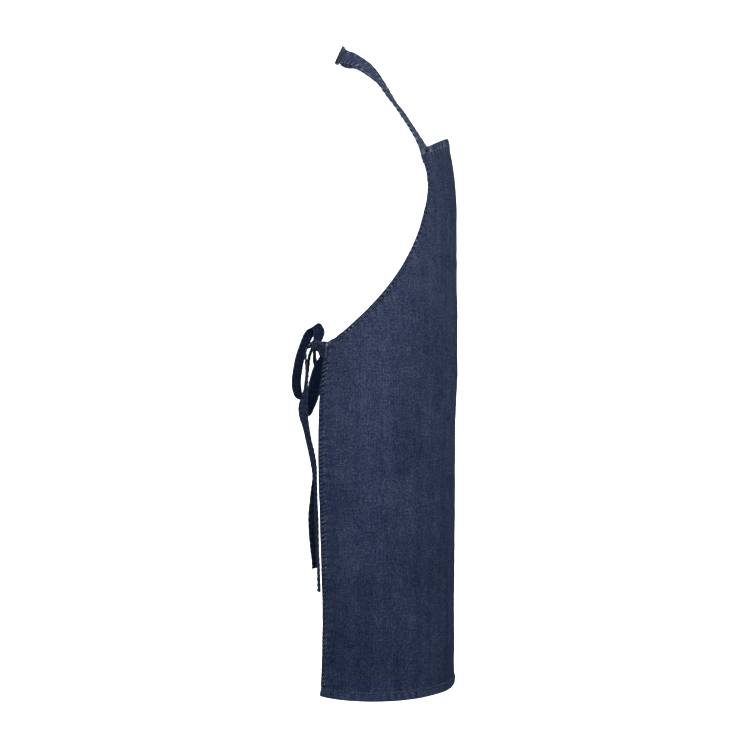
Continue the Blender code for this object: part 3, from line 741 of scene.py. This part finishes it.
LOOP_LEFT = (
    (-0.0480, 0.0050, -0.4740, 0.8, 0.4, 0.0, 0.009),
    (-0.0450, 0.0135, -0.4655, 0.9, 0.4, 0.0, 0.016),
    (-0.0445, 0.0240, -0.4525, 0.85, 0.5, 0.1, 0.021),
    (-0.0512, 0.0310, -0.4436, 0.6, 0.6, 0.5, 0.020),
    (-0.0600, 0.0340, -0.4528, 0.7, 0.4, 0.6, 0.021),
    (-0.0700, 0.0340, -0.4740, 0.73, 0.66, 0.1, 0.020),
    (-0.0773, 0.0340, -0.4958, 0.73, 0.68, 0.0, 0.020),
    (-0.0817, 0.0340, -0.5176, 0.73, 0.68, 0.0, 0.020),
    (-0.0838, 0.0340, -0.5394, 0.73, 0.68, 0.0, 0.020),
    (-0.0822, 0.0340, -0.5545, 0.7, 0.7, -0.1, 0.020),
    (-0.0782, 0.0330, -0.5654, 0.5, 0.8, -0.3, 0.020),
    (-0.0720, 0.0320, -0.5676, 0.1, 0.95, -0.25, 0.019),
    (-0.0671, 0.0310, -0.5562, -0.1, 1.0, 0.0, 0.018),
    (-0.0654, 0.0290, -0.5260, -0.1, 1.0, 0.0, 0.016),
    (-0.0619, 0.0240, -0.4976, 0.0, 1.0, 0.0, 0.013),
    (-0.0560, 0.0160, -0.4840, 0.4, 0.8, 0.4, 0.010),
    (-0.0510, 0.0060, -0.4800, 0.5, 0.7, 0.4, 0.009),
)
LOOP_RIGHT = (
    (-0.0480, 0.0050, -0.4800, 0.5, 0.8, 0.0, 0.009),
    (-0.0465, 0.0135, -0.4900, 0.6, 0.8, 0.0, 0.010),
    (-0.0456, 0.0160, -0.5029, 0.65, 0.75, 0.0, 0.013),
    (-0.0430, 0.0180, -0.5178, 0.55, 0.83, 0.0, 0.016),
    (-0.0446, 0.0190, -0.5375, 0.5, 0.85, 0.0, 0.019),
    (-0.0498, 0.0200, -0.5590, 0.4, 0.9, 0.1, 0.020),
    (-0.0532, 0.0220, -0.5754, 0.55, 0.83, 0.1, 0.020),
    (-0.0533, 0.0265, -0.5852, 0.35, 0.9, 0.1, 0.020),
    (-0.0504, 0.0310, -0.5802, 0.6, 0.75, 0.0, 0.020),
    (-0.0468, 0.0320, -0.5621, 0.93, 0.3, -0.2, 0.0215),
    (-0.0432, 0.0320, -0.5408, 0.97, 0.1, -0.2, 0.022),
    (-0.0393, 0.0310, -0.5227, 0.95, 0.2, -0.25, 0.021),
    (-0.0354, 0.0280, -0.5079, 0.9, 0.3, -0.2, 0.018),
    (-0.0335, 0.0235, -0.4955, 0.7, 0.6, 0.0, 0.013),
    (-0.0375, 0.0180, -0.4870, 0.5, 0.5, 0.5, 0.009),
    (-0.0440, 0.0070, -0.4800, 0.5, 0.5, 0.5, 0.009),
)
TAIL_LONG = (
    (-0.0500, 0.0060, -0.4755, 0.3, 0.5, 0.8, 0.010),
    (-0.0575, 0.0180, -0.4810, 0.25, 0.8, 0.5, 0.010),
    (-0.0588, 0.0300, -0.4870, 0.25, 0.9, 0.3, 0.014),
    (-0.0574, 0.0400, -0.4975, 0.3, 0.95, 0.0, 0.016),
    (-0.0560, 0.0450, -0.5145, 0.3, 0.95, 0.0, 0.018),
    (-0.0554, 0.0475, -0.5375, 0.3, 0.95, 0.0, 0.020),
    (-0.0558, 0.0485, -0.5588, 0.45, 0.9, 0.0, 0.020),
    (-0.0588, 0.0480, -0.5801, 0.75, 0.66, 0.0, 0.020),
    (-0.0585, 0.0450, -0.5982, 0.7, 0.7, 0.0, TIE_WIDTH),
    (-0.0539, 0.0400, -0.6228, 0.55, 0.83, 0.0, TIE_WIDTH),
    (-0.0485, 0.0360, -0.6492, 0.55, 0.83, 0.0, TIE_WIDTH),
    (-0.0443, 0.0330, -0.6722, 0.5, 0.85, 0.0, TIE_WIDTH),
    (-0.0425, 0.0300, -0.7018, 0.35, 0.93, 0.0, TIE_WIDTH),
    (-0.0418, 0.0300, -0.7346, 0.4, 0.92, 0.0, TIE_WIDTH),
    (-0.0405, 0.0300, -0.7724, 0.42, 0.9, 0.0, TIE_WIDTH),
    (-0.0390, 0.0300, -0.8134, 0.34, 0.93, 0.0, TIE_WIDTH),
    (-0.0370, 0.0300, -0.8700, 0.37, 0.93, 0.0, TIE_WIDTH),
    (-0.0370, 0.0300, -0.8824, 0.37, 0.93, 0.0, TIE_WIDTH),
)
TAIL_SHORT = (
    (-0.0500, 0.0040, -0.4810, 0.3, 0.9, 0.0, 0.008),
    (-0.0560, 0.0060, -0.4900, 0.3, 0.9, 0.0, 0.009),
    (-0.0593, 0.0090, -0.5010, 0.3, 0.95, 0.0, 0.012),
    (-0.0626, 0.0100, -0.5277, 0.25, 0.96, 0.0, 0.015),
    (-0.0657, 0.0100, -0.5543, 0.3, 0.9, 0.0, 0.018),
    (-0.0701, 0.0100, -0.5760, 0.55, 0.83, 0.0, 0.020),
    (-0.0697, 0.0100, -0.5927, 0.5, 0.85, 0.0, 0.021),
    (-0.0650, 0.0100, -0.6110, 0.4, 0.9, 0.0, TIE_WIDTH),
    (-0.0593, 0.0100, -0.6360, 0.35, 0.93, 0.0, TIE_WIDTH),
    (-0.0533, 0.0100, -0.6676, 0.25, 0.95, 0.0, TIE_WIDTH),
    (-0.0502, 0.0100, -0.6975, 0.2, 0.97, 0.0, TIE_WIDTH),
    (-0.0523, 0.0100, -0.7309, 0.4, 0.92, 0.0, TIE_WIDTH),
    (-0.0539, 0.0100, -0.7675, 0.5, 0.85, 0.0, TIE_WIDTH),
    (-0.0523, 0.0100, -0.8058, 0.42, 0.9, 0.0, TIE_WIDTH),
    (-0.0499, 0.0100, -0.8365, 0.3, 0.95, 0.0, TIE_WIDTH),
    (-0.0495, 0.0100, -0.8481, 0.3, 0.95, 0.0, TIE_WIDTH),
)


def make_bow():
    finish = (SHADED_TIE_DENIM, "tie_denim")
    # painted shade: shade darkens both loops, loop_right the most as its inside lies in shadow, and their
    # pale edges are kept fainter
    left = band("loop_left", LOOP_LEFT, 0.0020, 0.0085, 301, *finish, edges=0.5, shade=-0.14)
    right = band("loop_right", LOOP_RIGHT, 0.0020, 0.0085, 311, *finish, side=-1, edges=0.4, shade=-0.26)
    long_tail = band("tail_right", TAIL_LONG, 0.0020, 0.0095, 321, *finish, side=-1, edges=0.45)
    short_tail = band("tail_left", TAIL_SHORT, 0.0020, 0.0095, 331, *finish, edges=0.6)
    return left, right, long_tail, short_tail


# ---------------------------------------------------------------- stitching


def stitches(name, rows, length=0.0026, pitch=0.0033, radius=0.00034):
    """Raised thread stitches along seams: each row is (places, normals) along one seam."""
    stations = ((-0.5, 0.25, -0.9), (-0.3, 0.9, -0.1), (0.0, 1.0, 0.25), (0.3, 0.9, -0.1), (0.5, 0.25, -0.9))
    around = np.linspace(0, 2 * math.pi, 7)[:-1]
    skins, flat = [], []
    for places, normals in rows:
        steps = np.linalg.norm(np.diff(places, axis=0), axis=1)
        along = np.r_[0, np.cumsum(steps)]
        at = np.arange(pitch, along[-1] - pitch / 2, pitch)
        centre, normal, ahead = (
            np.stack([np.interp(at + shift, along, column) for column in rows_of.T], 1)
            for rows_of, shift in ((places, 0.0), (normals, 0.0), (places, pitch / 4))
        )
        forward = ahead - centre
        forward /= np.linalg.norm(forward, axis=1)[:, None]
        normal -= (normal * forward).sum(1)[:, None] * forward
        normal /= np.linalg.norm(normal, axis=1)[:, None]
        sideways = np.cross(normal, forward)
        rings = []
        for share, wide, up in stations:
            middle = centre + forward * share * length + normal * up * radius
            round_it = sideways[:, None] * np.cos(around)[None, :, None] * 1.25
            round_it = round_it + normal[:, None] * np.sin(around)[None, :, None]
            rings.append(middle[:, None] + round_it * wide * radius)
        skins.append(np.stack(rings, 1).reshape(-1, 3))
        flat.append(np.repeat(np.stack([at, at * 0], 1), len(stations) * 6, axis=0))
    points = np.concatenate(skins)
    one = [list(map(int, f)) for f in grid_faces(len(stations), 6, True)]
    one += [[0, 1, 2, 3, 4, 5], [29, 28, 27, 26, 25, 24]]
    faces = [[k + 30 * i for k in face] for i in range(len(points) // 30) for face in one]
    return make_mesh(name, points, faces, np.zeros(len(points)), np.concatenate(flat), THREAD)


def seam(across, height, side, off):
    """Places and normals of a seam over the flat cloth, a little proud of it."""
    across = side * np.asarray(across, float)
    places, normals = wrap(across, height, cloth_lift(across, height) + off)
    return places, normals


def make_stitching():
    """Topstitching of every hem, seen from outside."""
    proud = 0.00125
    rows = []
    line = np.linspace(-HALF_BIB + 0.004, HALF_BIB - 0.004, 120)
    rows.append(seam(line, BIB_TOP - TOP_HEM + 0.0022 + 0 * line, 1, proud))
    line = np.linspace(-HALF_SKIRT + 0.004, HALF_SKIRT - 0.004, 260)
    rows.append(seam(line, HEM + BOTTOM_HEM - 0.0022 + 0 * line, 1, proud))
    for side in (-1, 1):
        line = np.linspace(WAIST - 0.012, HEM + BOTTOM_HEM, 220)
        rows.append(seam(HALF_SKIRT - SIDE_HEM + 0.0022 + 0 * line, line, side, proud))
        curve = [armhole(t, ARMHOLE_HEM - 0.0018) for t in np.linspace(0, 0.985, 160)]
        down = np.linspace(BIB_TOP - TOP_HEM, ARMHOLE_START, 12)[:-1]
        path_s = [HALF_BIB - ARMHOLE_HEM + 0.0018] * len(down) + [p.x for p in curve]
        rows.append(seam(path_s, np.array(list(down) + [p.y for p in curve]), side, proud))
    return stitches("hem_stitching", rows)


def make_tack(name, side):
    """A bar tack: close stitches that hold a waist tie to the skirt's corner."""
    rows = []
    for z in np.linspace(TIE_HEIGHT - 0.0085, TIE_HEIGHT + 0.0085, 24):
        line = HALF_SKIRT - 0.0055 + np.linspace(-0.0033, 0.0033, 5)
        rows.append(seam(line, z + 0 * line, side, 0.0019))
    return stitches(name, rows)


def make_box(name, side):
    """The box and cross of stitches that hold a strap's tab behind the bib's corner."""
    inner, outer = HALF_BIB - 0.0235, HALF_BIB - 0.0045
    top, low = BIB_TOP - 0.0035, BIB_TOP - 0.0320
    corners = ((inner, top), (outer, top), (outer, low), (inner, low), (inner, top), (outer, low))
    lines = [*zip(corners[:-1], corners[1:]), (corners[1], corners[3])]
    rows = []
    for (s0, z0), (s1, z1) in lines:
        z = np.linspace(z0, z1, 30)
        off = np.where(z > BIB_TOP - TOP_HEM, 0.0018, 0.0008)
        rows.append(seam(np.linspace(s0, s1, 30), z, side, off))
    return stitches(name, rows)


# ---------------------------------------------------------------- studio


CAMERA_AWAY = 3.1
CAMERA_TURN = 6  # degrees, towards the wearer's front


def make_studio():
    camera = bpy.data.objects.new("camera", bpy.data.cameras.new("camera"))
    camera.data.lens = 90
    camera.data.sensor_width = 36
    turn = math.radians(CAMERA_TURN)
    camera.location = (0.0525 + CAMERA_AWAY * math.sin(turn), -CAMERA_AWAY * math.cos(turn), -0.526)
    camera.rotation_euler = (math.pi / 2, 0, turn)
    bpy.context.scene.collection.objects.link(camera)
    bpy.context.scene.camera = camera
    floor = bpy.data.objects.new("floor", bpy.data.meshes.new("floor"))
    profile = [(-8.0, -1.30), (3.0, -1.30)]
    profile += [(3.0 + 1.5 * math.sin(t), 0.2 - 1.5 * math.cos(t)) for t in np.linspace(0, math.pi / 2, 24)]
    profile += [(4.5, 6.0)]
    points = [(x, y, z) for y, z in profile for x in (-9.0, 9.0)]
    faces = [(2 * i, 2 * i + 1, 2 * i + 3, 2 * i + 2) for i in range(len(profile) - 1)]
    floor.data.from_pydata(points, [], faces)
    floor.data.shade_smooth()
    pale = bpy.data.materials.new("pale_floor")
    pale.use_nodes = True
    shader = pale.node_tree.nodes["Principled BSDF"]
    shader.inputs["Base Color"].default_value = (0.93, 0.93, 0.935, 1)
    shader.inputs["Roughness"].default_value = 0.9
    shader.inputs["Specular IOR Level"].default_value = 0.1
    floor.data.materials.append(pale)
    bpy.context.scene.collection.objects.link(floor)
    world = bpy.data.worlds.new("studio")
    world.use_nodes = True
    world.node_tree.nodes["Background"].inputs[0].default_value = (1.0, 1.0, 1.0, 1)
    world.node_tree.nodes["Background"].inputs[1].default_value = 0.30
    bpy.context.scene.world = world
    lights = (
        ("key", (0.5, -2.7, 1.1), 1.5, 148, (0.05, 0, -0.35)),
        ("wall left", (-2.6, 1.2, 1.2), 2.0, 170, (-1.0, 4.4, 0.2)),
        ("wall right", (2.6, 1.2, 1.2), 2.0, 170, (1.0, 4.4, 0.2)),
        ("floor", (0.0, 2.2, 2.2), 2.0, 60, (0.0, 2.4, -1.3)),
    )
    for name, place, size, power, target in lights:
        data = bpy.data.lights.new(name, "AREA")
        data.size = size
        data.energy = power
        lamp = bpy.data.objects.new(name, data)
        lamp.location = place
        aim = Vector(target) - Vector(place)
        lamp.rotation_euler = aim.to_track_quat("-Z", "Y").to_euler()
        bpy.context.scene.collection.objects.link(lamp)
    bpy.context.scene.view_settings.view_transform = "Standard"


# ---------------------------------------------------------------- putting it together


def sewn_edges(piece):
    """The stitching along both edges of a band, on both faces."""
    return stitches(piece.name + "_stitching", SEAMS[piece.name])


make_studio()

cloth = make_cloth()
hems = make_hems()
left, right, fold = make_straps()
slide = make_slider()
ties = make_ties()
knot = make_knot()
loop_left, loop_right, tail_right, tail_left = make_bow()
hem_stitching = make_stitching()
tacks = [make_tack("tack_left", 1), make_tack("tack_right", -1)]
boxes = [make_box("box_stitching_left", 1), make_box("box_stitching_right", -1)]
bands = (left, right, fold, *ties, loop_left, loop_right, tail_right, tail_left)
edging = {piece.name: sewn_edges(piece) for piece in bands}

for piece in (cloth, *hems, *ties, knot, hem_stitching, *tacks, *boxes):
    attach(piece, "apron")
for tie in ties:
    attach(edging[tie.name], "apron")
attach(slide, "slider")
moving = (
    (loop_left, "bow_loop_left"),
    (loop_right, "bow_loop_right"),
    (tail_left, "tie_tail_left"),
    (tail_right, "tie_tail_right"),
)
for piece, body in moving:
    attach(piece, body)
    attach(edging[piece.name], body)
for strap in (left, right, edging[left.name], edging[right.name]):
    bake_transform(strap)
for piece in (fold, edging[fold.name]):
    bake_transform(piece)

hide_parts("apron_panel")
for piece, cad in zip(hems, ("bib_top_hem", "bottom_hem", "side_hem_left", "armhole_hem_left")):
    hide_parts(cad)
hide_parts("side_hem_right")
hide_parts("armhole_hem_right")
for k, hand in enumerate(("left", "right")):
    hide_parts("neck_strap_" + hand, "strap_tab_" + hand)
    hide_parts("tab_stitching_" + hand)
    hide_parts("waist_tie_" + hand, "tie_end_" + hand)
    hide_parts("tie_bar_tack_" + hand)
    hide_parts("bow_loop_" + hand)
    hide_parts("tie_tail_" + hand, "tail_end_" + hand)
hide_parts("slider_strap_loop")
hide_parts("slider")
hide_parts("bow_knot")
